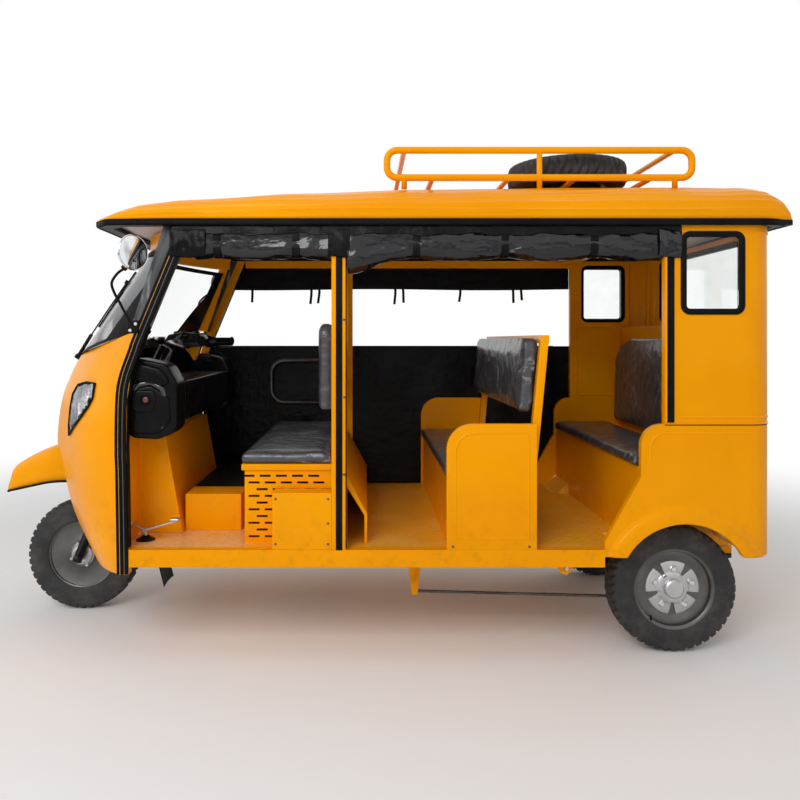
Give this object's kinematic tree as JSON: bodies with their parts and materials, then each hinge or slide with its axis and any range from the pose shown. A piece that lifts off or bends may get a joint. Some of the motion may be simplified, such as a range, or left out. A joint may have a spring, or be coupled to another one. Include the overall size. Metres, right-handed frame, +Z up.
{
  "type": "three-wheeled auto rickshaw",
  "caption": "Covered three-wheeled passenger taxi with a handlebar-steered front wheel, two powered rear wheels, bench seats, side curtains and a roof rack.",
  "frame": {"origin": "on the ground, below the centre of the whole box", "axes": "-X to the front, +X to the rear, -Y to the vehicle's left, +Z up"},
  "size_m": [3.346, 1.632, 2.06],
  "materials": {
    "yellow_paint": "glossy, dusty",
    "black_paint": "satin",
    "cream_paint": "satin",
    "dark_trim": "glossy",
    "seal_rubber": "matte",
    "tyre_rubber": "matte, dusty",
    "rim_steel": "satin",
    "bare_metal": "satin",
    "cast_metal": "rough",
    "window_pane": "clear",
    "lamp_lens": "clear",
    "tail_lens": "glossy",
    "seat_vinyl": "film-wrapped vinyl",
    "curtain_vinyl": "glossy coated cloth",
    "tread_plate": "chequered"
  },
  "bodies": {
    "chassis": {"front_cowl": "yellow_paint", "headlamps": "lamp_lens", "windshield_glass": "window_pane", "windshield_seal": "seal_rubber", "front_pillars": "yellow_paint", "roof_panel": "yellow_paint", "roof_edge_trim": "dark_trim", "roof_frame": "yellow_paint", "centre_pillars": "yellow_paint", "ladder_frame": "yellow_paint", "floor_pan": "tread_plate", "front_bulkhead": "yellow_paint", "floor_step": "yellow_paint", "dashboard": "dark_trim", "foot_pedals": "bare_metal", "driver_seat_tray": "yellow_paint", "engine_cover": "yellow_paint", "battery_box": "yellow_paint", "driver_cushion": "seat_vinyl", "driver_backrest": "seat_vinyl", "guard_rail": "bare_metal", "middle_bench_frame": "yellow_paint", "middle_cushion": "seat_vinyl", "middle_backrest": "seat_vinyl", "rear_quarter_left": "yellow_paint", "rear_quarter_right": "yellow_paint", "rear_wall": "yellow_paint", "window_seals": "seal_rubber", "window_glass": "window_pane", "tail_lamps": "tail_lens", "rear_bench_frame": "yellow_paint", "rear_cushion": "seat_vinyl", "rear_backrest": "seat_vinyl", "curtain_roll_left": "curtain_vinyl", "curtain_band_right": "curtain_vinyl", "curtain_sheet_right": "curtain_vinyl", "roof_rack": "yellow_paint", "spare_wheel": "tyre_rubber", "mirrors": "dark_trim", "wiper": "dark_trim", "rear_axle": "black_paint", "propeller_shaft": "black_paint", "engine_block": "cast_metal", "exhaust": "cast_metal", "brake_linkage": "yellow_paint", "roof_lining": "cream_paint"},
    "steering": {"front_fork": "black_paint", "handlebar": "black_paint", "instrument_cluster": "dark_trim", "front_mudguard": "yellow_paint"},
    "front_wheel": {"front_tyre": "tyre_rubber", "front_rim": "rim_steel"},
    "rear_left_wheel": {"rear_left_tyre": "tyre_rubber", "rear_left_rim": "rim_steel"},
    "rear_right_wheel": {"rear_right_tyre": "tyre_rubber", "rear_right_rim": "rim_steel"}
  },
  "joints": [
    {"name": "steering_turn", "type": "hinge", "parent": "chassis", "child": "steering", "pos_m": [-1.32, 0, 0.26], "axis": [0.3795, 0, 0.9252], "range_deg": [-35, 35]},
    {"name": "front_wheel_spin", "type": "hinge", "parent": "steering", "child": "front_wheel", "pos_m": [-1.32, 0, 0.26], "axis": [0, 1, 0], "continuous": true},
    {"name": "rear_left_wheel_spin", "type": "hinge", "parent": "chassis", "child": "rear_left_wheel", "pos_m": [1.27, -0.47, 0.26], "axis": [0, 1, 0], "continuous": true},
    {"name": "rear_right_wheel_spin", "type": "hinge", "parent": "chassis", "child": "rear_right_wheel", "pos_m": [1.27, 0.47, 0.26], "axis": [0, 1, 0], "continuous": true}
  ]
}
